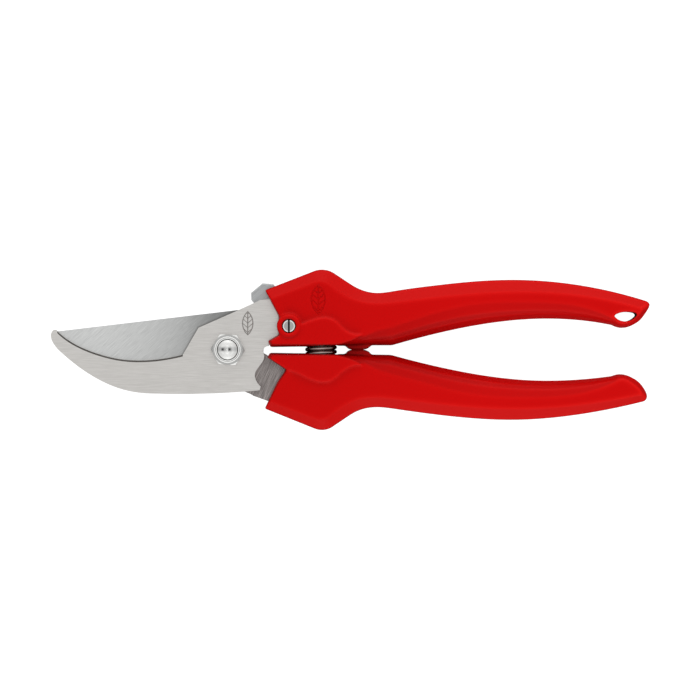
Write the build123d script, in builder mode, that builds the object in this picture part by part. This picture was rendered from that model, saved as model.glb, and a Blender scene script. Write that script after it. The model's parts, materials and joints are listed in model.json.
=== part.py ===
"""Light bypass pruner, closed and locked, lying on its back.

Millimetres. X runs from the blade tips to the handle ends, Y across the jaws, Z up.
Outlines are drawn about the blade pivot; the plane where the blades shear is z = 0 there.
"""
import os
from build123d import *

os.makedirs("parts", exist_ok=True)

# ---- where the pivot sits in the shared frame ----
PIVOT_X, PIVOT_Y, SHEAR_Z = -37.9, 0.1, 7.0

# ---- blades ----
BLADE_T = 2.45          # plate thickness
BLADE_GAP = 0.05        # running gap from the shear plane to each plate
EDGE_BEVEL = 0.5        # dulled front edge of the counter blade
GRIND_DEPTH = 0.12      # hollow grind on the cutting blade's inner face

# ---- pivot bolt, nut, washer ----
BOLT_R = 3.1
BOLT_RUN = 0.05         # radial running clearance in the cutting blade
BOLT_END = 6.3          # the rounded end, through the nut
BOLT_HEAD_R, BOLT_HEAD_H = 5.2, 2.3
WASHER_R, WASHER_T = 6.3, 0.5
NUT_FLATS, NUT_H = 9.2, 2.0
COLLAR_R, COLLAR_H = 4.15, 1.1

# ---- handles ----
BELT = 1.2              # half height of the upright wall all the way round
PLATEAU = 6.4           # half thickness of the grips
# between the two: height, how far the outer side and the palm side have closed in by then
SWELL = ((4.4, 0.0, 0.26), (5.6, 0.6, 0.52))
PAD = 7.0               # half thickness of the spring housings
BOSS_R, BOSS_TOP = 3.75, 7.4
BUMP_Z = 2.8            # half width of the stop bumpers
BUMP_GAP = 0.03         # each bumper stops this far from the middle

# ---- return spring ----
SPRING_X = 28.9
SPRING_OD, WIRE_D = 9.9, 1.25
SPRING_HALF = 8.45      # half length to the wire centres
SPRING_TURNS = 12.3
POCKET_R, POCKET_END = 5.2, 9.4
PEG_R, PEG_L = 2.9, 3.4

# ---- safety catch ----
CATCH_X, CATCH_Y = 19.0, 7.3
CATCH_LO, CATCH_HI = -2.25, -0.1
SLOT_LO = -2.75
SLEEVE_R, SLEEVE_RUN = 2.2, 0.05
SCREW_R, SCREW_HEAD_R = 1.4, 2.0
SCREW_SEAT, SCREW_TOP = 5.5, 6.95


def layer(z):
    """The drawing plane at height z over the shear plane."""
    return Plane((PIVOT_X, PIVOT_Y, SHEAR_Z + z))


def shape(z, *runs):
    """One closed outline: two points make a line, three an arc, more a spline."""
    with BuildSketch(layer(z)) as sk:
        with BuildLine():
            for run in runs:
                if len(run) == 2:
                    Line(*run)
                elif len(run) == 3:
                    ThreePointArc(*run)
                else:
                    Spline(*run)
        make_face()
    return sk.sketch


def slab(z0, z1, *runs, mode=Mode.ADD):
    extrude(shape(z0, *runs), amount=z1 - z0, mode=mode)


def disc(z0, z1, radius, x=0.0, y=0.0, mode=Mode.ADD):
    with BuildSketch(layer(z0)) as sk:
        with Locations((x, y)):
            Circle(radius)
    extrude(sk.sketch, amount=z1 - z0, mode=mode)


def bay(curve, far_y):
    """A curve closed off by three straight sides at far_y."""
    (x0, y0), (x1, y1) = curve[0], curve[-1]
    return [curve, [(x1, y1), (x1, far_y)], [(x1, far_y), (x0, far_y)], [(x0, far_y), (x0, y0)]]


def flip(runs):
    return [[(x, -y) for x, y in run] for run in runs]


# ---- tang outline inside a handle, from the front top corner round to the front lower corner ----
TANG = [
    [(12.4, 15.6), (17.0, 16.6), (24.0, 18.6), (30.5, 19.4), (35.5, 16.4), (40.0, 13.6)],
    [(40.0, 13.6), (80.0, 16.6)],
    [(80.0, 16.6), (82.0, 14.4), (80.0, 12.4)],
    [(80.0, 12.4), (42.0, 7.6)],
    [(42.0, 7.6), (36.5, 10.9)],
    [(36.5, 10.9), (22.4, 10.9)],
    [(22.4, 10.9), (21.6, 4.2)],
    [(21.6, 4.2), (14.0, 3.2)],
]

# ---------------------------------------------------------------- counter blade
COUNTER = [
    [(-52.9, 5.65), (-53.8, 6.2), (-54.6, 5.5), (-54.85, 3.9), (-54.0, 1.75), (-52.6, 0.0)],
    [(-52.6, 0.0), (-46.7, -5.0), (-39.6, -9.5), (-33.4, -12.1), (-28.6, -13.2),
     (-24.0, -13.6)],
    [(-24.0, -13.6), (-11.6, -13.75), (3.9, -13.1), (9.9, -12.6)],
    [(9.9, -12.6), (10.2, -11.4)],
    [(10.2, -11.4), (8.5, -8.8), (8.4, -7.6), (9.05, -6.1), (10.9, -0.6)],
    [(10.9, -0.6), (11.45, 0.75), (12.6, 1.1)],
    [(12.6, 1.1), (14.0, 3.2)],
]
COUNTER_TOP = [
    [(12.4, 15.6), (10.1, 15.4)],
    [(10.1, 15.4), (2.6, 11.95)],
    [(2.6, 11.95), (-9.1, 6.8)],
    [(-9.1, 6.8), (-13.95, -1.6)],
]
HOOK = [(-13.95, -1.6), (-17.8, -2.45), (-22.5, -3.15), (-27.1, -3.4), (-33.0, -3.05),
        (-38.75, -1.8), (-44.55, 0.25), (-48.4, 2.2), (-52.9, 5.65)]

with BuildPart() as counter_blade:
    slab(BLADE_GAP, BLADE_GAP + BLADE_T, *COUNTER, *TANG[::-1], *COUNTER_TOP, HOOK)
    disc(BLADE_GAP, BLADE_GAP + BLADE_T, BOLT_R, mode=Mode.SUBTRACT)
    disc(BLADE_GAP, BLADE_GAP + BLADE_T, SLEEVE_R, CATCH_X, CATCH_Y, mode=Mode.SUBTRACT)
    for x, y in ((50.0, 11.6), (64.0, 12.9), (76.0, 14.3)):
        disc(BLADE_GAP, BLADE_GAP + BLADE_T, 1.6, x, y, mode=Mode.SUBTRACT)
    # dulled front edge along the hook
    top = BLADE_GAP + BLADE_T
    loft([shape(top - EDGE_BEVEL, *bay(HOOK, 6.0)),
          shape(top + 0.1, *bay([(x, y - EDGE_BEVEL - 0.1) for x, y in HOOK], 6.0))],
         ruled=True, mode=Mode.SUBTRACT)
counter_blade.part.label = "counter_blade"
export_step(counter_blade.part, "parts/counter_blade.step")

# ---------------------------------------------------------------- cutting blade
CUTTING = [
    [(-53.5, 5.65), (3.3, 12.35)],
    [(3.3, 12.35), (6.6, 10.8), (9.5, 8.1)],
    [(9.5, 8.1), (9.0, 6.32)],
    [(9.0, 6.32), (10.9, 1.5), (10.9, -1.0)],
    [(10.9, -1.0), (12.2, -1.7)],
    [(12.2, -1.7), (14.0, -3.2)],
]
CUT_EDGE = [(-11.5, -3.5), (-17.8, -4.5), (-22.5, -5.1), (-27.1, -5.2), (-33.0, -4.75),
            (-38.75, -3.4), (-44.55, -1.2), (-49.2, 1.3), (-53.5, 5.65)]
CUTTING_LOW = [
    [(12.4, -15.95), (8.0, -14.4)],
    [(8.0, -14.4), (5.0, -13.0), (1.0, -12.1), (-3.0, -11.0), (-6.6, -8.6), (-9.0, -5.2),
     (-11.5, -3.5)],
    CUT_EDGE,
]
BEVEL_TOP = [(-8.0, -0.4), (-17.0, -0.9), (-22.5, -1.3), (-27.1, -1.3), (-33.0, -0.8),
             (-38.75, 0.6), (-44.3, 2.6), (-49.5, 4.7), (-54.5, 6.95)]
LOWER_TANG = [[(x, -y) for x, y in run] for run in TANG]
LOWER_TANG[0][0] = (12.4, -15.95)

with BuildPart() as cutting_blade:
    slab(-BLADE_GAP - BLADE_T, -BLADE_GAP, *CUTTING, *LOWER_TANG[::-1], *CUTTING_LOW)
    disc(-BLADE_GAP - BLADE_T, -BLADE_GAP, BOLT_R + BOLT_RUN, mode=Mode.SUBTRACT)
    for x, y in ((50.0, -11.6), (64.0, -12.9), (76.0, -14.3)):
        disc(-BLADE_GAP - BLADE_T, -BLADE_GAP, 1.6, x, y, mode=Mode.SUBTRACT)
    # wide bevel on the back, up to the cutting edge
    loft([shape(-BLADE_GAP - 0.15, *bay(CUT_EDGE, -16.0)),
          shape(-BLADE_GAP - BLADE_T - 0.1, *bay(BEVEL_TOP, -16.0))],
         ruled=True, mode=Mode.SUBTRACT)
    slab(-BLADE_GAP - GRIND_DEPTH, 0.0,
         [(-13.2, 14.0), (-13.4, 9.0), (-15.6, 3.0), (-19.5, -9.0)],
         [(-19.5, -9.0), (-58.0, -9.0)], [(-58.0, -9.0), (-58.0, 14.0)],
         [(-58.0, 14.0), (-13.2, 14.0)], mode=Mode.SUBTRACT)
cutting_blade.part.label = "cutting_blade"
export_step(cutting_blade.part, "parts/cutting_blade.step")

# ---------------------------------------------------------------- handle outlines
# The edge is the widest outline; the crest is the flat front, so the facets run between them.
UPPER_EDGE = [
    [(11.55, 18.45), (26.2, 24.15)],
    [(26.2, 24.15), (30.2, 24.75), (33.4, 23.4)],
    [(33.4, 23.4), (36.5, 21.35), (40.5, 18.95), (45.7, 17.6), (52.0, 18.25), (62.0, 19.65),
     (75.0, 21.05), (89.0, 21.65), (106.2, 20.4), (129.5, 15.15)],
    [(129.5, 15.15), (130.7, 14.2), (129.75, 11.75), (127.1, 8.6), (123.4, 6.85), (119.2, 7.65)],
    [(119.2, 7.65), (106.2, 9.4), (93.8, 9.5), (75.2, 7.25), (56.6, 2.95), (50.9, 1.35)],
    [(50.9, 1.35), (44.5, 1.35)],
    [(44.5, 1.35), (13.3, 0.8)],
    [(13.3, 0.8), (12.4, 2.65)],
    [(12.4, 2.65), (15.8, 4.65)],
    [(15.8, 4.65), (15.8, 10.4)],
    [(15.8, 10.4), (11.55, 18.45)],
]
UPPER_CREST = [
    [(13.3, 15.6), (26.9, 20.7)],
    [(26.9, 20.7), (29.6, 20.9), (32.0, 19.6)],
    [(32.0, 19.6), (35.0, 17.4), (39.4, 15.3), (44.8, 14.25), (51.5, 14.5), (62.0, 15.8),
     (75.0, 17.1), (89.0, 17.8), (106.2, 17.05), (127.2, 13.0)],
    [(127.2, 13.0), (128.4, 12.7), (127.8, 11.5), (125.9, 9.8), (123.2, 8.3), (120.2, 9.2)],
    [(120.2, 9.2), (106.2, 14.0), (93.8, 14.8), (75.2, 14.0), (60.0, 10.2), (50.9, 7.1)],
    [(50.9, 7.1), (48.8, 6.6), (46.6, 6.0), (44.5, 5.2)],
    [(44.5, 5.2), (41.0, 3.6), (37.0, 2.2), (32.0, 1.5), (13.6, 1.3)],
    [(13.6, 1.3), (13.1, 2.65)],
    [(13.1, 2.65), (16.1, 4.5)],
    [(16.1, 4.5), (16.1, 10.5)],
    [(16.1, 10.5), (13.3, 15.6)],
]
UPPER_PAD = [
    [(13.5, 1.1), (34.0, 1.3)],
    [(34.0, 1.3), (38.5, 2.6), (42.0, 4.6)],
    [(42.0, 4.6), (38.6, 5.0), (35.9, 6.7), (33.5, 9.2), (30.2, 10.3), (26.6, 9.6), (22.6, 8.1)],
    [(22.6, 8.1), (16.2, 7.7)],
    [(16.2, 7.7), (16.0, 4.4)],
    [(16.0, 4.4), (13.0, 2.6)],
    [(13.0, 2.6), (13.5, 1.1)],
]
LOWER_EDGE = flip([
    [(11.45, 18.25), (26.9, 24.45)],
    [(26.9, 24.45), (30.1, 24.85), (33.2, 23.4)],
    [(33.2, 23.4), (36.5, 21.2), (40.0, 19.1), (45.3, 17.85), (52.0, 18.4), (62.0, 19.8),
     (75.0, 21.2), (89.0, 21.75), (106.2, 20.45), (128.9, 16.05)],
    [(128.9, 16.05), (129.9, 15.0), (129.1, 12.2), (126.6, 9.4), (122.6, 7.65), (119.2, 8.2)],
    [(119.2, 8.2), (106.2, 9.45), (93.8, 9.5), (75.2, 7.3), (56.6, 3.2), (50.6, 1.6)],
    [(50.6, 1.6), (44.5, 1.5)],
    [(44.5, 1.5), (13.1, 0.95)],
    [(13.1, 0.95), (12.25, 2.4)],
    [(12.25, 2.4), (17.95, 6.2)],
    [(17.95, 6.2), (15.3, 10.2)],
    [(15.3, 10.2), (11.45, 18.25)],
])
LOWER_CREST = flip([
    [(12.95, 15.9), (27.0, 21.2)],
    [(27.0, 21.2), (29.6, 21.4), (32.0, 20.0)],
    [(32.0, 20.0), (35.0, 17.8), (39.2, 15.6), (44.4, 14.6), (51.5, 15.0), (62.0, 16.3),
     (75.0, 17.6), (89.0, 18.2), (106.2, 17.3), (127.0, 14.0)],
    [(127.0, 14.0), (128.2, 13.6), (127.4, 12.2), (125.4, 10.6), (122.8, 9.3), (120.0, 10.0)],
    [(120.0, 10.0), (106.2, 14.2), (93.8, 14.9), (75.2, 13.8), (60.0, 10.2), (50.6, 7.7)],
    [(50.6, 7.7), (48.6, 7.1), (46.5, 6.3), (44.5, 5.3)],
    [(44.5, 5.3), (41.0, 3.6), (37.0, 2.3), (32.0, 1.6), (13.6, 1.35)],
    [(13.6, 1.35), (13.05, 2.6)],
    [(13.05, 2.6), (18.45, 6.2)],
    [(18.45, 6.2), (15.7, 10.4)],
    [(15.7, 10.4), (12.95, 15.9)],
])
LOWER_PAD = flip([
    [(13.5, 1.15), (34.0, 1.4)],
    [(34.0, 1.4), (38.5, 2.7), (42.0, 4.6)],
    [(42.0, 4.6), (37.6, 5.6), (34.9, 7.7), (32.4, 9.8), (29.2, 10.4), (24.0, 8.6), (18.3, 6.35)],
    [(18.3, 6.35), (13.0, 2.7)],
    [(13.0, 2.7), (13.5, 1.15)],
])
BUMPER = [
    [(36.5, 1.5), (37.1, 0.5), (38.5, BUMP_GAP)],
    [(38.5, BUMP_GAP), (42.1, BUMP_GAP)],
    [(42.1, BUMP_GAP), (43.6, 0.5), (44.5, 1.5)],
    [(44.5, 1.5), (44.5, 4.0)],
    [(44.5, 4.0), (36.5, 4.0)],
    [(36.5, 4.0), (36.5, 1.5)],
]


def drawn_in(pad, side):
    """The top of a housing: its foot outline, narrowed a little all round for draft."""
    return [[(27.0 + (x - 27.0) * 0.97, side * (5.0 + (side * y - 5.0) * 0.91)) for x, y in run]
            for run in pad]


def swell(edge, crest, side, outer, palm):
    """An outline between edge and crest: flat facets outside, full and round on the palm side."""
    runs = []
    for low, high in zip(edge, crest):
        n = len(high)
        if len(low) != n:
            (x0, y0), (x1, y1) = low
            low = [(x0 + (x1 - x0) * i / (n - 1), y0 + (y1 - y0) * i / (n - 1)) for i in range(n)]
        run = []
        for (x0, y0), (x1, y1) in zip(low, high):
            k = palm if 30.0 < x0 < 125.0 and side * y0 < 11.0 else outer
            run.append((x0 + (x1 - x0) * k, y0 + (y1 - y0) * k))
        runs.append(run)
    return runs


def moulding(edge, crest, pad, side):
    """A handle: upright belt, facets front and back, spring housing, bumper, spring pocket."""
    slab(-BELT, BELT, *edge)
    for face in (1, -1):
        rings = [shape(face * z, *swell(edge, crest, side, outer, palm))
                 for z, outer, palm in ((BELT, 0, 0), *SWELL, (PLATEAU, 1, 1))]
        loft(rings, ruled=True)
        loft([shape(face * 5.0, *pad), shape(face * PAD, *drawn_in(pad, side))], ruled=True)
    slab(-BUMP_Z, BUMP_Z, *[[(x, side * y) for x, y in run] for run in BUMPER])
    pocket = Plane((PIVOT_X + SPRING_X, PIVOT_Y, SHEAR_Z), x_dir=(1, 0, 0), z_dir=(0, side, 0))
    with BuildSketch(pocket) as mouth:
        Circle(POCKET_R)
    extrude(mouth.sketch, amount=POCKET_END, mode=Mode.SUBTRACT)
    with BuildSketch(pocket.offset(POCKET_END)) as floor:
        Circle(PEG_R)
    extrude(floor.sketch, amount=-PEG_L)


with BuildPart() as upper_handle:
    moulding(UPPER_EDGE, UPPER_CREST, UPPER_PAD, 1)
    disc(-PAD, BOSS_TOP, BOSS_R, CATCH_X, CATCH_Y)
    chamfer(upper_handle.edges().group_by(Axis.Z)[-1], length=0.35)
    add(counter_blade.part, mode=Mode.SUBTRACT)
    disc(BLADE_GAP, BLADE_GAP + BLADE_T, SLEEVE_R, CATCH_X, CATCH_Y, mode=Mode.SUBTRACT)
    # slot that the catch swings in, open at the front and at the outer edge
    slab(SLOT_LO, BLADE_GAP, [(8.0, 4.9), (20.6, 4.9)], [(20.6, 4.9), (22.6, 9.6)],
         [(22.6, 9.6), (21.6, 26.0)], [(21.6, 26.0), (8.0, 26.0)], [(8.0, 26.0), (8.0, 4.9)],
         mode=Mode.SUBTRACT)
    disc(SLOT_LO, BLADE_GAP, 3.95, CATCH_X, CATCH_Y, mode=Mode.SUBTRACT)
    disc(2.5, BOSS_TOP, SCREW_R, CATCH_X, CATCH_Y, mode=Mode.SUBTRACT)
    disc(SCREW_SEAT, BOSS_TOP, 2.35, CATCH_X, CATCH_Y, mode=Mode.SUBTRACT)
    disc(-PAD, SLOT_LO, SLEEVE_R, CATCH_X, CATCH_Y, mode=Mode.SUBTRACT)
    disc(-PAD, -4.6, 3.0, CATCH_X, CATCH_Y, mode=Mode.SUBTRACT)
    # eye for a wrist strap
    slab(-PAD, PAD, [(119.5, 10.6), (123.0, 11.7), (126.4, 11.35)],
         [(126.4, 11.35), (126.7, 10.8), (126.2, 10.1)],
         [(126.2, 10.1), (123.0, 8.75), (119.5, 10.6)], mode=Mode.SUBTRACT)
upper_handle.part.label = "upper_handle"
export_step(upper_handle.part, "parts/upper_handle.step")

with BuildPart() as lower_handle:
    moulding(LOWER_EDGE, LOWER_CREST, LOWER_PAD, -1)
    add(cutting_blade.part, mode=Mode.SUBTRACT)
lower_handle.part.label = "lower_handle"
export_step(lower_handle.part, "parts/lower_handle.step")

# ---------------------------------------------------------------- pivot bolt, washer, nut
HEAD_TOP = -BLADE_GAP - BLADE_T - 0.1 - WASHER_T
NUT_Z = BLADE_GAP + BLADE_T

with BuildPart() as pivot_bolt:
    disc(HEAD_TOP - BOLT_HEAD_H, HEAD_TOP, BOLT_HEAD_R)
    chamfer(pivot_bolt.edges().group_by(Axis.Z)[0], length=1.2, length2=0.9)
    disc(HEAD_TOP, BOLT_END, BOLT_R)
    fillet(pivot_bolt.edges().group_by(Axis.Z)[-1], radius=0.9)
    # screwdriver slot across the head
    with BuildSketch(layer(HEAD_TOP - BOLT_HEAD_H)):
        Rectangle(12, 1.4)
    extrude(amount=1.1, mode=Mode.SUBTRACT)
pivot_bolt.part.label = "pivot_bolt"
export_step(pivot_bolt.part, "parts/pivot_bolt.step")

with BuildPart() as pivot_washer:
    disc(HEAD_TOP, HEAD_TOP + WASHER_T, WASHER_R)
    disc(HEAD_TOP, HEAD_TOP + WASHER_T, BOLT_R, mode=Mode.SUBTRACT)
pivot_washer.part.label = "pivot_washer"
export_step(pivot_washer.part, "parts/pivot_washer.step")

with BuildPart() as pivot_nut:
    with BuildSketch(layer(NUT_Z)):
        RegularPolygon(NUT_FLATS / 2, 6, major_radius=False, rotation=-3)
    extrude(amount=NUT_H)
    with BuildSketch(layer(NUT_Z)):
        Circle(NUT_FLATS / 2 + 0.95)
    extrude(amount=NUT_H, taper=14, mode=Mode.INTERSECT)
    disc(NUT_Z + NUT_H, NUT_Z + NUT_H + COLLAR_H, COLLAR_R)
    fillet(pivot_nut.edges().group_by(Axis.Z)[-1], radius=0.2)
    disc(NUT_Z, NUT_Z + NUT_H + COLLAR_H, BOLT_R, mode=Mode.SUBTRACT)
    disc(NUT_Z + NUT_H + 0.5, NUT_Z + NUT_H + COLLAR_H, BOLT_R + 0.25, mode=Mode.SUBTRACT)
    # ring groove round the top of the collar
    disc(NUT_Z + NUT_H + 0.85, NUT_Z + NUT_H + COLLAR_H, 3.78, mode=Mode.SUBTRACT)
pivot_nut.part.label = "pivot_nut"
export_step(pivot_nut.part, "parts/pivot_nut.step")

# ---------------------------------------------------------------- return spring
with BuildPart() as return_spring:
    radius = (SPRING_OD - WIRE_D) / 2
    with BuildLine():
        coil = Helix(pitch=2 * SPRING_HALF / SPRING_TURNS, height=2 * SPRING_HALF, radius=radius,
                     center=(PIVOT_X + SPRING_X, PIVOT_Y - SPRING_HALF, SHEAR_Z),
                     direction=(0, 1, 0))
    with BuildSketch(Plane(coil @ 0, z_dir=coil % 0)):
        Circle(WIRE_D / 2)
    sweep(path=coil, is_frenet=True)
return_spring.part.label = "return_spring"
export_step(return_spring.part, "parts/return_spring.step")

# ---------------------------------------------------------------- safety catch and its screw
with BuildPart() as safety_catch:
    slab(CATCH_LO, CATCH_HI,
         [(7.15, 17.65), (10.75, 20.65)], [(10.75, 20.65), (14.1, 20.4)],
         [(14.1, 20.4), (20.6, 10.6)], [(20.6, 10.6), (16.0, 5.2)],
         [(16.0, 5.2), (13.4, 8.6)], [(13.4, 8.6), (10.1, 9.4)],
         [(10.1, 9.4), (10.9, 11.6)], [(10.9, 11.6), (8.3, 14.2)],
         [(8.3, 14.2), (7.25, 15.4)], [(7.25, 15.4), (7.15, 17.65)])
    disc(CATCH_LO, CATCH_HI, 3.7, CATCH_X, CATCH_Y)
    disc(CATCH_LO, CATCH_HI, SLEEVE_R + SLEEVE_RUN, CATCH_X, CATCH_Y, mode=Mode.SUBTRACT)
    front = safety_catch.faces().sort_by(Axis.Z)[-1]
    rim = front.edges().filter_by(GeomType.LINE).sort_by(Axis.Y)[-2:]
    chamfer(rim, length=0.4)
safety_catch.part.label = "safety_catch"
export_step(safety_catch.part, "parts/safety_catch.step")

with BuildPart() as catch_screw:
    disc(SCREW_SEAT, SCREW_TOP, SCREW_HEAD_R, CATCH_X, CATCH_Y)
    chamfer(catch_screw.edges().group_by(Axis.Z)[-1], length=0.45)
    disc(-3.6, SCREW_SEAT, SCREW_R, CATCH_X, CATCH_Y)
    with BuildSketch(layer(SCREW_TOP)):
        with Locations((CATCH_X, CATCH_Y)):
            Rectangle(0.66, 5)
    extrude(amount=-0.7, mode=Mode.SUBTRACT)
catch_screw.part.label = "catch_screw"
export_step(catch_screw.part, "parts/catch_screw.step")

with BuildPart() as catch_nut:
    disc(-6.3, -4.6, 2.9, CATCH_X, CATCH_Y)
    chamfer(catch_nut.edges().group_by(Axis.Z)[0], length=0.4)
    disc(-4.6, 2.4, SLEEVE_R, CATCH_X, CATCH_Y)
    disc(-3.6, 2.4, SCREW_R, CATCH_X, CATCH_Y, mode=Mode.SUBTRACT)
catch_nut.part.label = "catch_nut"
export_step(catch_nut.part, "parts/catch_nut.step")

with BuildPart() as catch_washer:
    disc(SLOT_LO, -2.35, 3.5, CATCH_X, CATCH_Y)
    disc(SLOT_LO, -2.35, SLEEVE_R, CATCH_X, CATCH_Y, mode=Mode.SUBTRACT)
catch_washer.part.label = "catch_washer"
export_step(catch_washer.part, "parts/catch_washer.step")
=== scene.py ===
"""Bypass pruner seen straight from above, closed, on a white floor.

Lengths are in metres, and those written with MM in millimetres. Places are from the pivot bolt's centre
or from the box of the CAD node that a piece stands for.
"""
import json
import math
import bpy
import numpy as np
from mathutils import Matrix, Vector


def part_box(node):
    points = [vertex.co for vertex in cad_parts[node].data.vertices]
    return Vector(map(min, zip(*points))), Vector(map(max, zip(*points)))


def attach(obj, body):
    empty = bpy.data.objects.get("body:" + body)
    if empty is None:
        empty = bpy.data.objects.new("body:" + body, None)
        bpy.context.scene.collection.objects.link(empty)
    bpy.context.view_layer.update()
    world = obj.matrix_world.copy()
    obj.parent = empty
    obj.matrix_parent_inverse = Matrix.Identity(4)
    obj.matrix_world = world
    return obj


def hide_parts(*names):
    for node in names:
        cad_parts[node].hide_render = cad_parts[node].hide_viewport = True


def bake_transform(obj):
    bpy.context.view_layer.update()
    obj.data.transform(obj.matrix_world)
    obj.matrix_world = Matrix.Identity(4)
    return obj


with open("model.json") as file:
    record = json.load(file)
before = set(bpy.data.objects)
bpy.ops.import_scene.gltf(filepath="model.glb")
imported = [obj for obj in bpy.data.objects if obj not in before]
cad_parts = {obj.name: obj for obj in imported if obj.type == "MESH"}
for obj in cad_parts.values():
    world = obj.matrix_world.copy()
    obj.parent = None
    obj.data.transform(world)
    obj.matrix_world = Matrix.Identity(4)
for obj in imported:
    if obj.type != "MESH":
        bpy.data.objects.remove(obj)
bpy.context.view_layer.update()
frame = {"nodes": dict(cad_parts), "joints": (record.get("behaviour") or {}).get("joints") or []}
nodes = frame["nodes"]

MM = 0.001
PIVOT = Vector(frame["joints"][0]["pos_m"])
collection = bpy.context.scene.collection

# ------------------------------------------------------------------ camera
VIEW_W = 217 * MM        # width that the picture takes in, at the height BLADE_TOP
BLADE_TOP = 10 * MM
CAM_H = 1.4              # height of the camera over the floor
SENSOR = 36.0            # width of the sensor, in the camera's own millimetres

cam = bpy.data.objects.new("camera", bpy.data.cameras.new("camera"))
collection.objects.link(cam)
cam.location = (0.0, 0.0, CAM_H)
cam.data.sensor_width = SENSOR
cam.data.lens = SENSOR * (CAM_H - BLADE_TOP) / VIEW_W
cam.data.clip_start, cam.data.clip_end = 0.01, 20.0
bpy.context.scene.camera = cam
bpy.context.scene.view_settings.view_transform = "Standard"

# ------------------------------------------------------------------ lights
LAMP_PLACE = Vector((0.2, 1.1, 0.8))
LAMP_SIDE, LAMP_POWER = 0.7, 1.5

lamp = bpy.data.objects.new("far_box", bpy.data.lights.new("far_box", "AREA"))
lamp.data.shape = "RECTANGLE"
lamp.data.size = lamp.data.size_y = LAMP_SIDE
lamp.data.energy = LAMP_POWER
lamp.location = LAMP_PLACE
lamp.rotation_mode = "QUATERNION"
lamp.rotation_quaternion = (-LAMP_PLACE).to_track_quat("-Z", "Y")
lamp.visible_glossy = False
collection.objects.link(lamp)

# a white tent with a soft box on each long side: duller overhead, darkest at the two ends
TENT = 1.22                       # brightness of the whole tent
OVERHEAD, END_LOSS = 0.70, 0.20   # the tent's own glow, and how much less its two ends have
FAINTEST = 0.05
BOXES = (((0.0, 0.906, 0.423), 11.0, 2.35),       # direction, sharpness and strength of each soft box
         ((0.0, -0.927, 0.375), 13.0, 2.40))
MIRROR_LOSS = 0.88                # how much of the soft boxes is missing from mirror images

world = bpy.data.worlds.new("studio")
bpy.context.scene.world = world
world.use_nodes = True
world_tree = world.node_tree


def world_math(op, *values):
    node = world_tree.nodes.new("ShaderNodeMath")
    node.operation = op
    for socket, value in zip(node.inputs, values):
        if hasattr(value, "is_output"):
            world_tree.links.new(value, socket)
        else:
            socket.default_value = value
    return node.outputs[0]


sky = world_tree.nodes.new("ShaderNodeTexCoord").outputs["Generated"]
sky_xyz = world_tree.nodes.new("ShaderNodeSeparateXYZ")
world_tree.links.new(sky, sky_xyz.inputs[0])


def lobe(direction, sharp):
    """A soft glow round one direction."""
    dot = world_tree.nodes.new("ShaderNodeVectorMath")
    dot.operation = "DOT_PRODUCT"
    dot.inputs[1].default_value = Vector(direction).normalized()
    world_tree.links.new(sky, dot.inputs[0])
    return world_math("POWER", world_math("MAXIMUM", dot.outputs["Value"], 0.0), sharp)


boxes = 0.0
for direction, sharp, strength in BOXES:
    boxes = world_math("MULTIPLY_ADD", lobe(direction, sharp), strength, boxes)
mirror_ray = world_tree.nodes.new("ShaderNodeLightPath").outputs["Is Glossy Ray"]
boxes_seen = world_math("MULTIPLY_ADD", mirror_ray, -MIRROR_LOSS, 1.0)
glow = world_math("MULTIPLY_ADD", world_math("ABSOLUTE", sky_xyz.outputs["X"]), -END_LOSS, OVERHEAD)
glow = world_math("MULTIPLY_ADD", boxes, boxes_seen, glow)
glow = world_math("MULTIPLY", world_math("MAXIMUM", glow, FAINTEST), TENT)
world_tree.links.new(glow, world_tree.nodes["Background"].inputs["Strength"])
world_tree.nodes["Background"].inputs["Color"].default_value = (1, 1, 1, 1)


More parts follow.
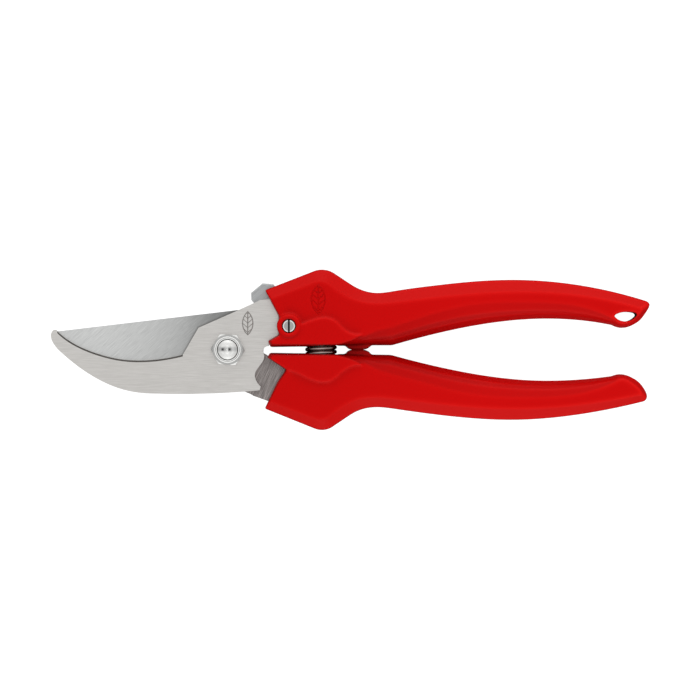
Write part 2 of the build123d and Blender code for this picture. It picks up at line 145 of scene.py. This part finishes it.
# ------------------------------------------------------------------ material helper
class Mat:
    """A Principled material with a few short ways to make nodes."""

    def __init__(self, name, **fixed):
        self.m = bpy.data.materials.new(name)
        self.m.use_nodes = True
        self.t = self.m.node_tree
        self.b = self.t.nodes["Principled BSDF"]
        for k, v in fixed.items():
            self.b.inputs[k.replace("_", " ")].default_value = v

    def node(self, kind, **props):
        n = self.t.nodes.new(kind)
        for k, v in props.items():
            setattr(n, k, v)
        return n

    def link(self, a, b):
        self.t.links.new(a, b)

    def coords(self, scale=(1, 1, 1), rot=(0, 0, 0)):
        """Object coordinates, turned, then stretched."""
        turned_by = self.node("ShaderNodeMapping")
        turned_by.inputs["Rotation"].default_value = rot
        scaled_by = self.node("ShaderNodeMapping")
        scaled_by.inputs["Scale"].default_value = scale
        self.link(self.node("ShaderNodeTexCoord").outputs["Object"], turned_by.inputs["Vector"])
        self.link(turned_by.outputs["Vector"], scaled_by.inputs["Vector"])
        return scaled_by.outputs["Vector"]

    def noise(self, vec, scale, detail=3.0, rough=0.55):
        n = self.node("ShaderNodeTexNoise")
        n.inputs["Scale"].default_value = scale
        n.inputs["Detail"].default_value = detail
        n.inputs["Roughness"].default_value = rough
        self.link(vec, n.inputs["Vector"])
        return n.outputs["Fac"]

    def ramp(self, fac, *stops):
        """A grey ramp through (position, level) stops."""
        r = self.node("ShaderNodeValToRGB")
        e = r.color_ramp.elements
        for i, (pos, level) in enumerate(stops):
            s = e[i] if i < 2 else e.new(pos)
            s.position = pos
            s.color = (level, level, level, 1)
        self.link(fac, r.inputs["Fac"])
        return r.outputs["Color"]

    def math(self, op, *values, clamp=False):
        n = self.node("ShaderNodeMath", operation=op, use_clamp=clamp)
        for socket, v in zip(n.inputs, values):
            if hasattr(v, "is_output"):
                self.link(v, socket)
            else:
                socket.default_value = v
        return n.outputs[0]

    def times(self, a, b):
        return self.math("MULTIPLY", a, b)

    def less(self, a, b):
        return self.math("SUBTRACT", a, b)

    def size_of(self, a):
        return self.math("ABSOLUTE", a)

    def fade(self, value, zero, one):
        """0 where the value is at zero or past it, in a straight line to 1 at one."""
        gain = 1 / (one - zero)
        return self.math("MULTIPLY_ADD", value, gain, -zero * gain, clamp=True)

    def mix(self, fac, a, b, how="MIX"):
        n = self.node("ShaderNodeMix", data_type="RGBA", blend_type=how)
        for v, key in ((fac, 0), (a, 6), (b, 7)):
            if hasattr(v, "is_output"):
                self.link(v, n.inputs[key])
            elif key == 0:
                n.inputs[0].default_value = v
            else:
                n.inputs[key].default_value = (*v, 1)
        return n.outputs[2]

    def bump(self, height, strength, dist, normal=None):
        n = self.node("ShaderNodeBump")
        n.inputs["Strength"].default_value = strength
        n.inputs["Distance"].default_value = dist
        self.link(height, n.inputs["Height"])
        if normal is not None:
            self.link(normal, n.inputs["Normal"])
        return n.outputs["Normal"]

    def xyz(self, output="Object"):
        """The three parts of the object coordinates, or of the normal in the object's own axes."""
        s = self.node("ShaderNodeSeparateXYZ")
        self.link(self.node("ShaderNodeTexCoord").outputs[output], s.inputs[0])
        return s.outputs[0], s.outputs[1], s.outputs[2]

    def attribute(self, name):
        return self.node("ShaderNodeAttribute", attribute_name=name).outputs["Fac"]

    def out(self, **socks):
        for k, v in socks.items():
            self.link(v, self.b.inputs[k.replace("_", " ")])
        return self.m


# ------------------------------------------------------------------ leaf emblem
FRONT_Z = 8.5 * MM       # what is over this height faces the front
VEIN_SLOPE = 0.9


def leaf(m, centre, half, wide, line):
    """A plain leaf drawn in lines, lengthways along Y: 1 on a line, 0 off it."""
    x, y, z = m.xyz()
    dx = m.size_of(m.less(x, centre[0]))
    dy = m.less(y, centre[1])
    inset = (half ** 2 - wide ** 2) / (2 * wide)         # the outline is two arcs with this centre
    reach = m.math("SQRT", m.math("ADD", m.math("POWER", m.math("ADD", dx, inset), 2.0),
                                  m.math("POWER", dy, 2.0)))
    outside = m.less(reach, wide + inset)
    rim = m.fade(m.size_of(outside), line, 0.0)
    rib = m.fade(dx, line, 0.0)
    vein = m.fade(m.math("PINGPONG", m.less(dy, m.times(dx, VEIN_SLOPE)), half / 5), line, 0.0)
    inner = m.times(m.math("MAXIMUM", rib, vein), m.math("LESS_THAN", outside, 0.0))
    return m.times(m.math("MAXIMUM", rim, inner), m.math("GREATER_THAN", z, FRONT_Z))


# ------------------------------------------------------------------ red plastic
HANDLE_LEAF = (PIVOT.x + 28.1 * MM, PIVOT.y + 15.6 * MM)
GRIP_FROM, GRIP_FULL = -21 * MM, 39 * MM                    # where the handle turns into the grip, in X
NARROW, WIDE_GAP = PIVOT.x + 46 * MM, PIVOT.x + 81 * MM     # where the gap is narrow and where it is wide
GAP_SHADE = 1.9 * MM                                        # how far the painted shade reaches from mid-gap
DEEP_HOLLOW = 0.4545 * MM                                   # a hollow this deep has all its painted shade
FULL_CREST = 0.0714 * MM                                    # a crest this high has its full painted highlight
RED, RED_MOTTLED, RED_GRIP_LIT = (0.462, 0.0005, 0.0005), (0.485, 0.0008, 0.0007), (0.540, 0.0010, 0.0010)
RED_OUTER_LIT, RED_CREST_SHEEN, RED_SHADE = (0.70, 0.010, 0.008), (0.80, 0.010, 0.008), (0.075, 0.0, 0.0)


def plastic():
    m = Mat("red_plastic", Roughness=0.5, Specular_IOR_Level=0.05)
    fine = m.noise(m.coords(), 5200.0, 2.0)
    mottle = m.noise(m.coords(), 60.0, 3.0)
    x, y, _ = m.xyz()
    _, normal_y, normal_z = m.xyz("Normal")
    grip = m.fade(x, GRIP_FROM, GRIP_FULL)
    to_gap = m.less(PIVOT.y, y)
    facing = m.times(normal_y, m.math("SIGN", to_gap))      # over 0 on what faces the other handle
    level = m.size_of(normal_z)
    # painted light: the grips are lighter, and so are the facets on the outer side
    col = m.mix(mottle, RED, RED_MOTTLED)
    col = m.mix(grip, col, RED_GRIP_LIT)
    col = m.mix(m.times(m.fade(facing, 0.0, -1 / 3), 0.24), col, RED_OUTER_LIT)
    # painted shade on the palm sides, which face the other handle, most of all where the gap is narrow
    inward = m.fade(facing, 0.0, 1 / 1.9)
    painted_shade = m.times(inward, m.math("MULTIPLY_ADD", m.fade(x, WIDE_GAP, NARROW), 0.22, 0.17))
    # painted shade along the middle of the gap
    painted_shade = m.math("MULTIPLY_ADD", m.fade(m.size_of(to_gap), GAP_SHADE, 0.0), 0.75, painted_shade)
    # painted shade in the hollows and on the steep outer edge too
    painted_shade = m.math("MULTIPLY_ADD", m.fade(m.attribute("hollow"), 0.0, DEEP_HOLLOW), 0.36, painted_shade)
    edge = m.times(m.fade(level, 0.8, 0.0), m.less(1.0, inward))
    painted_shade = m.math("MULTIPLY_ADD", edge, 0.70, painted_shade, clamp=True)
    col = m.mix(painted_shade, col, RED_SHADE)
    # painted highlight on the crests, most of all on the grips
    crest = m.times(m.fade(m.attribute("crest"), 0.0, FULL_CREST),
                    m.math("MULTIPLY_ADD", grip, 0.38, 0.04))
    col = m.mix(m.times(crest, m.fade(level, 0.5, 0.75)), col, RED_CREST_SHEEN)
    mark = leaf(m, HANDLE_LEAF, 4.4 * MM, 2.1 * MM, 0.30 * MM)
    skin = m.bump(fine, 0.18, 0.04 * MM)
    return m.out(Base_Color=col, Roughness=m.ramp(fine, (0.3, 0.38), (0.7, 0.50)),
                 Normal=m.bump(mark, 0.8, 0.3 * MM, skin))


# ------------------------------------------------------------------ steels
BLADE_LEAF = (PIVOT.x + 6.2 * MM, PIVOT.y + 8.2 * MM)
TANG_FROM = PIVOT.x + 3.4 * MM           # where the cutting blade's coarser, darker tang begins
GRIND_FROM, GRIND_RUN = PIVOT.x - 38.6 * MM, 45 * MM
GRIND_LEAN = 0.12                        # how the grind's shading leans, in X for each step in Y
# two straight lines along the counter blade's back edge, each a point from the pivot and the direction
# away from the blade
BACK_EDGE = ((-9.1 * MM, 6.8 * MM, -0.403, 0.915), (-9.1 * MM, 6.8 * MM, -0.866, 0.500))
EDGE_SHADOW_WIDTH = 0.7 * MM


def streaks(m, angle):
    """Grinding lines at an angle to X, fine ones and broader ones."""
    rot = (0, 0, -angle)
    fine = m.noise(m.coords((190, 8500, 8500), rot), 1.0, 4.0, 0.7)
    broad = m.noise(m.coords((130, 6200, 6200), rot), 1.0, 3.0, 0.6)
    return fine, broad


def counter_steel():
    m = Mat("counter_steel", Metallic=1.0)
    fine, broad = streaks(m, 0.0)
    blot = m.noise(m.coords((60, 160, 160)), 1.0, 3.0)
    tone = m.mix(m.ramp(fine, (0.32, 0.0), (0.68, 1.0)), (0.58, 0.565, 0.54), (0.78, 0.76, 0.735))
    tone = m.mix(m.ramp(broad, (0.35, 0.20), (0.65, 0.0)), tone, (0.57, 0.55, 0.525))
    tone = m.mix(m.ramp(blot, (0.35, 0.18), (0.65, 0.0)), tone, (0.59, 0.57, 0.545))
    # the bevel along the edge is dark
    normal_z = m.xyz("Normal")[2]
    bevel = m.times(m.math("GREATER_THAN", normal_z, 0.2), m.math("LESS_THAN", normal_z, 0.95))
    tone = m.mix(bevel, tone, (0.13, 0.12, 0.11))
    mark = leaf(m, BLADE_LEAF, 3.6 * MM, 1.6 * MM, 0.20 * MM)
    tone = m.mix(m.times(mark, 0.85), tone, (0.11, 0.10, 0.09))
    rough = m.ramp(m.math("ADD", m.times(fine, 0.5), m.times(blot, 0.5)), (0.3, 0.30), (0.7, 0.42))
    grain = m.bump(fine, 0.12, 0.03 * MM)
    return m.out(Base_Color=tone, Roughness=rough,
                 Normal=m.bump(m.less(1.0, mark), 0.6, 0.2 * MM, grain))


def cutting_steel():
    m = Mat("cutting_steel", Metallic=1.0)
    x, y, _ = m.xyz()
    fine, broad = streaks(m, math.radians(41))
    tang_fine, tang_broad = streaks(m, math.radians(66))
    flat = m.mix(m.ramp(fine, (0.32, 0.0), (0.68, 1.0)), (0.54, 0.545, 0.54), (0.88, 0.89, 0.88))
    flat = m.mix(m.ramp(broad, (0.35, 0.24), (0.65, 0.0)), flat, (0.52, 0.525, 0.52))
    # painted shade over the hollow grind: light towards the tip, dark where it runs out under the other
    # blade
    along = m.math("MULTIPLY_ADD", broad, 4 * MM, m.less(x, m.times(y, GRIND_LEAN)))
    shade = m.ramp(m.fade(along, GRIND_FROM, GRIND_FROM + GRIND_RUN), (0.0, 1.0), (0.29, 0.92),
                   (0.49, 0.81), (0.60, 0.70), (0.66, 0.61), (0.72, 0.51), (0.90, 0.36))
    flat = m.mix(1.0, flat, shade, "MULTIPLY")
    # a painted shadow line where the other blade's back edge lies over this one when the jaws are shut; it
    # stays when they open
    past = [m.math("ADD", m.times(m.less(x, PIVOT.x + px), dx), m.times(m.less(y, PIVOT.y + py), dy))
            for px, py, dx, dy in BACK_EDGE]
    edge_shadow = m.fade(m.math("MAXIMUM", *past), EDGE_SHADOW_WIDTH, 0.0)
    flat = m.mix(m.times(edge_shadow, 0.70), flat, (0.10, 0.10, 0.095))
    tang = m.mix(m.ramp(tang_fine, (0.36, 0.0), (0.66, 1.0)), (0.15, 0.135, 0.13), (0.66, 0.60, 0.58))
    tang = m.mix(m.ramp(tang_broad, (0.38, 0.75), (0.62, 0.0)), tang, (0.14, 0.125, 0.12))
    return m.out(Base_Color=m.mix(m.math("GREATER_THAN", x, TANG_FROM), flat, tang),
                 Roughness=m.ramp(fine, (0.3, 0.28), (0.7, 0.42)), Normal=m.bump(fine, 0.15, 0.03 * MM))


def catch_steel():
    m = Mat("catch_steel", Metallic=1.0)
    fine, broad = streaks(m, math.radians(42))
    tone = m.mix(m.ramp(broad, (0.3, 0.0), (0.7, 1.0)), (0.40, 0.41, 0.415), (0.56, 0.575, 0.58))
    # painted highlight on the edges and chamfers
    edge = m.math("LESS_THAN", m.size_of(m.xyz("Normal")[2]), 0.95)
    tone = m.mix(edge, tone, (0.78, 0.80, 0.80))
    return m.out(Base_Color=tone, Roughness=m.ramp(fine, (0.3, 0.34), (0.7, 0.46)),
                 Normal=m.bump(fine, 0.12, 0.03 * MM))


# ------------------------------------------------------------------ plated metal
CORNERS_FROM = 4.5 * MM      # rings wider than this are on a hexagon's corners
CORNER_Y = 2.0 * MM          # the corners nearer to the X line than this get no painted highlight
LIT_FROM, LIT_FULL = 0.36 * MM, 0.96 * MM     # a domed end is painted pale, as a reflection, this far over and under its middle
MIDDLE_Y = 0.2 * MM
# the domed end's two dark spots are painted reflections
SPOT_PLACE, SPOT_APART, SPOT_SIZE = (-0.45 * MM, 0.1 * MM), 1.05 * MM, 0.6 * MM
SPOT_DEPTH = 1.2             # over 1, the spots have a full dark middle


def tint_rings(m, col, place, rings):
    """Each ring (inner, outer, shade) is painted over the colour: a light ring is a painted highlight, a
    dark one painted shade.
    """
    dy, radius, front = place
    for inner, outer, shade in rings:
        band = m.times(m.math("GREATER_THAN", radius, inner), m.math("LESS_THAN", radius, outer))
        if inner > CORNERS_FROM:
            band = m.times(band, m.math("GREATER_THAN", m.size_of(dy), CORNER_Y))
        col = m.mix(m.times(band, front), col, (shade, shade, 0.98 * shade))
    return col


def tint_dome(m, col, place, dx, rim):
    """A domed end inside the rim: a painted reflection, pale over and under a level band that has two dark
    spots.
    """
    dy, radius, front = place
    lit = m.fade(m.size_of(m.less(dy, MIDDLE_Y)), LIT_FROM, LIT_FULL)
    disc = m.times(m.math("LESS_THAN", radius, rim), front)
    col = m.mix(m.times(lit, disc), col, (0.92, 0.92, 0.90))
    across = m.size_of(m.less(dy, SPOT_PLACE[1]))
    along = m.size_of(m.less(m.size_of(m.less(dx, SPOT_PLACE[0])), SPOT_APART))
    spots = [m.math("MULTIPLY_ADD", way, -1 / SPOT_SIZE, SPOT_DEPTH, clamp=True) for way in (across, along)]
    return m.mix(m.times(m.times(*spots), front), col, (0.05, 0.05, 0.05))


def bright(name, tone, rough, centre=None, rings=(), top=0.0, domed=False):
    """Smooth plated metal. Rings of painted highlight and shade and the dome's painted reflection are round
    the centre, on what is over the height top.
    """
    m = Mat(name, Metallic=1.0)
    fine = m.noise(m.coords(), 900.0, 3.0)
    wide = m.noise(m.coords(), 250.0, 3.0)
    col = m.mix(fine, tuple(0.92 * c for c in tone), tone)
    if rings:
        x, y, z = m.xyz()
        dx, dy = m.less(x, centre.x), m.less(y, centre.y)
        radius = m.math("SQRT", m.math("ADD", m.times(dx, dx), m.times(dy, dy)))
        place = dy, radius, m.math("GREATER_THAN", z, top)
        col = tint_rings(m, col, place, rings)
        if domed:
            col = tint_dome(m, col, place, dx, rings[0][0])
    return m.out(Base_Color=col, Roughness=m.ramp(wide, (0.3, rough), (0.7, rough + 0.08)),
                 Normal=m.bump(fine, 0.05, 0.03 * MM))


# ------------------------------------------------------------------ mesh helpers
def dress(obj, mat, smooth=False):
    obj.data.materials.clear()
    obj.data.materials.append(mat)
    if smooth:
        for p in obj.data.polygons:
            p.use_smooth = True


def applied(obj):
    """The object's mesh with its modifiers applied."""
    collection.objects.link(obj)
    mesh = bpy.data.meshes.new_from_object(obj.evaluated_get(bpy.context.evaluated_depsgraph_get()))
    collection.objects.unlink(obj)
    return mesh


def finished(obj):
    """A new object in the scene, with the modifiers applied; the first object goes."""
    mesh, name = applied(obj), obj.name
    bpy.data.objects.remove(obj)
    out = bpy.data.objects.new(name, mesh)
    collection.objects.link(out)
    return out


def take_over(obj, node, body):
    """The piece moves with the body and stands for the CAD node."""
    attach(obj, body)
    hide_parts(node)


def middle(node):
    """The middle of a CAD node's box, and the box's own corners."""
    lo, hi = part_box(node)
    return (lo + hi) / 2, lo, hi


# ------------------------------------------------------------------ handles
VOXEL, ROUNDINGS = 0.34 * MM, 6                  # grain of the new mesh, and how often it is smoothed
BUMPER_X = (38.4 * MM, 42.2 * MM)                # where the stop bumpers meet, from the pivot
BUMPER_GAP, BUMPERS_SHUT = 0.7 * MM, 0.0002 * MM     # what counts as their faces, and half the gap left
RECESS_REACH, RECESS_DEPTH = 2.7 * MM, 1.2 * MM      # the vertices round the catch screw's recess
RECESS_R, RECESS_FLARE = 2.14 * MM, 1.6
RECESS_WALL = 2.35 * MM
HOLLOW_ROUNDS, CREST_ROUNDS = 90, 8              # rounds of smoothing that show up hollows and crests


def smoothed_away(mesh, rounds):
    """How far each vertex sinks under (+) or stands over (-) the surface smoothed that often."""
    n = len(mesh.vertices)
    place, normal = np.empty(3 * n), np.empty(3 * n)
    mesh.vertices.foreach_get("co", place)
    mesh.vertices.foreach_get("normal", normal)
    ends = np.empty(2 * len(mesh.edges), dtype=int)
    mesh.edges.foreach_get("vertices", ends)
    a, b = ends.reshape(-1, 2).T
    place = place.reshape(-1, 3)
    count = (np.bincount(a, minlength=n) + np.bincount(b, minlength=n))[:, None]
    soft = place.copy()
    for _ in range(rounds):
        near = [np.bincount(a, soft[b, k], n) + np.bincount(b, soft[a, k], n) for k in range(3)]
        soft = (soft + np.stack(near, axis=1) / count) / 2
    return ((soft - place) * normal.reshape(-1, 3)).sum(axis=1)


def trim_contacts(mesh):
    """Smoothing has drawn the bumpers apart and the screw's recess out of round: put both right."""
    screw, _, screw_top = middle("catch_screw")
    for v in mesh.vertices:
        gap = v.co.y - PIVOT.y
        if abs(gap) < BUMPER_GAP and BUMPER_X[0] < v.co.x - PIVOT.x < BUMPER_X[1]:
            v.co.y = PIVOT.y + math.copysign(BUMPERS_SHUT, gap)
        out = Vector((v.co.x - screw.x, v.co.y - screw.y, 0.0))
        if out.length < RECESS_REACH and v.co.z > screw_top.z - RECESS_DEPTH:
            radius = RECESS_R + RECESS_FLARE * max(0.0, out.length - RECESS_WALL)
            v.co += out.normalized() * (radius - out.length)


def moulded(name, node, body, mat):
    """The handle with every edge rounded over, as it leaves the mould."""
    o = bpy.data.objects.new(name, nodes[node].data.copy())
    skin = o.modifiers.new("skin", "REMESH")
    skin.mode, skin.voxel_size, skin.use_smooth_shade = "VOXEL", VOXEL, True
    easing = o.modifiers.new("round", "SMOOTH")
    easing.factor, easing.iterations = 0.5, ROUNDINGS
    o = finished(o)
    trim_contacts(o.data)
    # hollow and crest drive the painted shade and painted highlight of the red plastic
    hollow, crest = smoothed_away(o.data, HOLLOW_ROUNDS), -smoothed_away(o.data, CREST_ROUNDS)
    for key, value in (("hollow", hollow), ("crest", crest)):
        o.data.attributes.new(key, "FLOAT", "POINT").data.foreach_set("value", value.clip(0, 1))
    dress(o, mat, smooth=True)
    take_over(o, node, body)


red = plastic()
moulded("upper_grip", "upper_handle", "upper_half", red)
moulded("lower_grip", "lower_handle", "lower_half", red)

# ------------------------------------------------------------------ blades, catch and washers
plated = bright("nickel_plate", (0.50, 0.50, 0.49), 0.16)
dark = bright("spring_steel", (0.46, 0.37, 0.34), 0.18)
for node, mat in (("counter_blade", counter_steel()), ("cutting_blade", cutting_steel()),
                  ("safety_catch", catch_steel()), ("pivot_washer", plated), ("catch_nut", plated),
                  ("catch_washer", dark)):
    dress(nodes[node], mat)


# ------------------------------------------------------------------ turned pieces, sizes in millimetres
def rounded(points, radii, n=4):
    """The profile with its corners eased; radii has one radius for each point."""
    out = []
    for i, (p, r) in enumerate(zip(points, radii)):
        p = Vector(p)
        if not r:
            out.append(p)
            continue
        a = (Vector(points[i - 1]) - p).normalized() * r
        b = (Vector(points[i + 1]) - p).normalized() * r
        for k in range(n + 1):
            t = k / n
            out.append(p + a * (1 - t) ** 2 + b * t ** 2)
    return out


def turned(name, profile, centre, seg=96, reshape=None):
    """A solid of revolution about Z. reshape(radius, height, angle) may move each of its points."""
    verts, faces = [], []
    for r, z in profile:
        for j in range(seg):
            a = 2 * math.pi * j / seg
            rr, zz, aa = reshape(r, z, a) if reshape else (r, z, a)
            verts.append((centre.x + rr * MM * math.cos(aa), centre.y + rr * MM * math.sin(aa), zz * MM))
    for i in range(len(profile) - 1):
        for j in range(seg):
            k = (j + 1) % seg
            faces.append((i * seg + j, i * seg + k, (i + 1) * seg + k, (i + 1) * seg + j))
    mesh = bpy.data.meshes.new(name)
    mesh.from_pydata(verts, [], faces)
    o = bpy.data.objects.new(name, mesh)
    o.modifiers.new("weld", "WELD").merge_threshold = 0.001 * MM
    return o


def fastener(obj, mat, node, sharp):
    """Dress a turned piece, with edges sharper than that many degrees left sharp."""
    o = finished(obj)
    dress(o, mat, smooth=True)
    o.data.set_sharp_from_angle(angle=math.radians(sharp))
    take_over(o, node, "upper_half")


def cut_slot(obj, centre, half_x, half_y, z0, z1):
    """Cut a screwdriver slot, a box round the centre from height z0 to z1."""
    mesh = bpy.data.meshes.new("slot_cutter")
    mesh.from_pydata([(centre.x + i * half_x * MM, centre.y + j * half_y * MM, z * MM)
                      for i in (-1, 1) for j in (-1, 1) for z in (z0, z1)], [],
                     [(0, 1, 3, 2), (4, 6, 7, 5), (0, 4, 5, 1), (2, 3, 7, 6), (0, 2, 6, 4), (1, 5, 7, 3)])
    cutter = bpy.data.objects.new("slot_cutter", mesh)
    collection.objects.link(cutter)
    cut = obj.modifiers.new("slot", "BOOLEAN")
    cut.operation, cut.object, cut.solver = "DIFFERENCE", cutter, "EXACT"
    mesh = applied(obj)
    obj.modifiers.clear()
    obj.data = mesh
    bpy.data.objects.remove(cutter)


# ------------------------------------------------------------------ pivot nut
AXIS, nut_lo, _ = middle("pivot_nut")
FLAT, HEX_FROM = 4.6, 5.0                 # axis to a flat, and the radius from which rings are hexagons
CHAMFER_R, TOP_SLOPE, UNDER_SLOPE = 4.62, 0.75, 0.45
HEX_TURN = math.radians(3)
low = nut_lo.z / MM
face = low + 2.0                          # top of the hexagon, where the collar begins
SHANK_R, COLLAR_R = 3.1, 4.10


def hexagon(r, z, a):
    """The outermost rings follow the hexagon, with its chamfered corners; the others stay round."""
    if r < HEX_FROM:
        return r, z, a - HEX_TURN
    wall = FLAT / math.cos((a % (math.pi / 3)) - math.pi / 6)
    corner = max(0.0, wall - CHAMFER_R)
    return wall, (z - corner * TOP_SLOPE if z > low else z + corner * UNDER_SLOPE), a - HEX_TURN


hex_part = [(SHANK_R, low), (FLAT, low), (HEX_FROM, low), (HEX_FROM, face), (FLAT, face), (4.12, face)]
collar = [(COLLAR_R, face), (COLLAR_R, face + 1.1), (3.72, face + 1.1), (3.70, face + 0.9),
          (3.62, face + 0.9), (3.60, face + 1.04), (3.27, face + 1.04), (3.12, face + 0.78),
          (SHANK_R, low)]
collar = rounded(collar, [0, 0.11, 0.05, 0.02, 0.02, 0.05, 0.05, 0.02, 0], 5)
# painted shade in the gap round the bolt end and in the groove; painted highlights on the ring between
# them, on the rim and on the hexagon's corners
nut_rings = ((2.9 * MM, 3.27 * MM, 0.07), (3.27 * MM, 3.61 * MM, 0.92), (3.61 * MM, 3.71 * MM, 0.30),
             (3.71 * MM, 4.11 * MM, 0.99), (4.70 * MM, 5.40 * MM, 0.99))
nut = turned("pivot_nut_bright", hex_part + collar, AXIS, 144, hexagon)
nut_plate = bright("nut_plate", (0.52, 0.52, 0.51), 0.18, AXIS, nut_rings, (low + 0.5) * MM)

# ------------------------------------------------------------------ pivot bolt
_, bolt_lo, bolt_hi = middle("pivot_bolt")
b0, b1 = bolt_lo.z / MM, bolt_hi.z / MM
profile = [(0.0, b0), (4.0, b0), (5.2, b0 + 0.9), (5.2, b0 + 2.3), (3.09, b0 + 2.3),
           (3.09, b1 - 0.70), (2.98, b1 - 0.45), (2.1, b1 - 0.02), (1.45, b1 - 0.02),
           (0.70, b1 - 0.34), (0.38, b1 - 0.12), (0.0, b1 - 0.10)]
profile = rounded(profile, [0, 0.3, 0.25, 0.1, 0, 0.05, 0.08, 0.3, 0.2, 0.15, 0.12, 0], 6)
bolt = turned("pivot_bolt_bright", profile, AXIS)
cut_slot(bolt, AXIS, 7, 0.7, b0 - 1, b0 + 1.1)
# painted shade in the gap round the bolt end; a painted highlight at its middle
bolt_rings = ((3.04 * MM, 3.2 * MM, 0.05), (0.0, 0.36 * MM, 0.99))
bolt_plate = bright("bolt_plate", (0.68, 0.68, 0.67), 0.18, AXIS, bolt_rings, face * MM, domed=True)

fastener(nut, nut_plate, "pivot_nut", 30)
fastener(bolt, bolt_plate, "pivot_bolt", 30)

# ------------------------------------------------------------------ catch screw
SCREW, screw_lo, screw_hi = middle("catch_screw")
s0, s1 = screw_lo.z / MM, screw_hi.z / MM
profile = [(0.0, s0), (1.4, s0), (1.4, s1 - 1.45), (1.95, s1 - 1.45), (1.95, s1 - 0.4),
           (1.85, s1 - 0.12), (1.50, s1), (0.0, s1)]
screw = turned("catch_screw_head", profile, SCREW)
cut_slot(screw, SCREW, 0.31, 5, s1 - 0.7, s1 + 1)
# a painted highlight round the rim of the head's top, grey inside it; lower down, the slot and the sides
# stay near black
screw_rings = ((0.0, 1.52 * MM, 0.44), (1.52 * MM, 3.0 * MM, 0.98))
screw_steel = bright("screw_steel", (0.03, 0.028, 0.026), 0.30, SCREW, screw_rings, (s1 - 0.6) * MM)
fastener(screw, screw_steel, "catch_screw", 20)

# ------------------------------------------------------------------ return spring
SPRING, spring_lo, spring_hi = middle("return_spring")
WIRE = 0.625 * MM                                       # half the wire's thickness
COIL_R = (spring_hi.x - spring_lo.x) / 2 - WIRE         # radius to the wire's centre
TURNS, SHUT_TURNS = 12.4, 0.75                          # in all, and those closed up at each end
SHUT_PITCH = 2.02 * WIRE
START = math.radians(193.5)
STEPS, SIDES = int(TURNS * 44), 14                      # along the wire, and round it


def coil(name):
    """Compression spring: closed coils at the ends, open coils between them."""
    half = (spring_hi.y - spring_lo.y) / 2 - WIRE
    open_pitch = (2 * half - 2 * SHUT_TURNS * SHUT_PITCH) / (TURNS - 2 * SHUT_TURNS)
    verts, faces = [], []
    y = -half
    for i in range(STEPS + 1):
        turn = TURNS * i / STEPS
        if i:
            inside = min(turn, TURNS - turn) > SHUT_TURNS
            y += (open_pitch if inside else SHUT_PITCH) * TURNS / STEPS
        a = START - 2 * math.pi * (turn - TURNS / 2)
        radial = Vector((math.cos(a), 0.0, math.sin(a)))
        for j in range(SIDES):
            b = 2 * math.pi * j / SIDES
            p = radial * (COIL_R + WIRE * math.cos(b)) + Vector((0, WIRE * math.sin(b), 0))
            verts.append((SPRING.x + p.x, SPRING.y + y + p.y, SPRING.z + p.z))
    for i in range(STEPS):
        for j in range(SIDES):
            k = (j + 1) % SIDES
            faces.append((i * SIDES + j, (i + 1) * SIDES + j, (i + 1) * SIDES + k, i * SIDES + k))
    faces.append(tuple(range(SIDES)))
    faces.append(tuple(STEPS * SIDES + j for j in range(SIDES))[::-1])
    mesh = bpy.data.meshes.new(name)
    mesh.from_pydata(verts, [], faces)
    o = bpy.data.objects.new(name, mesh)
    collection.objects.link(o)
    return o


spring = coil("spring_coil")
dress(spring, dark, smooth=True)
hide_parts("return_spring")
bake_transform(spring)

# ------------------------------------------------------------------ floor
FLOOR_SIDE, FLOOR_DROP = 6.0, 0.2 * MM
corner = FLOOR_SIDE / 2
mesh = bpy.data.meshes.new("floor")
mesh.from_pydata([(-corner, -corner, 0), (corner, -corner, 0), (corner, corner, 0), (-corner, corner, 0)],
                 [], [(0, 1, 2, 3)])
floor = bpy.data.objects.new("floor", mesh)
floor.location.z = -FLOOR_DROP
collection.objects.link(floor)
paper = Mat("floor_white", Roughness=0.9, Specular_IOR_Level=0.0, Emission_Color=(1, 1, 1, 1))
seen = paper.node("ShaderNodeLightPath").outputs["Is Camera Ray"]       # white for the camera only
grain = paper.noise(paper.coords(), 40.0, 3.0)
dress(floor, paper.out(Base_Color=paper.mix(grain, (0.24, 0.24, 0.24), (0.27, 0.27, 0.27)),
                       Emission_Strength=seen))
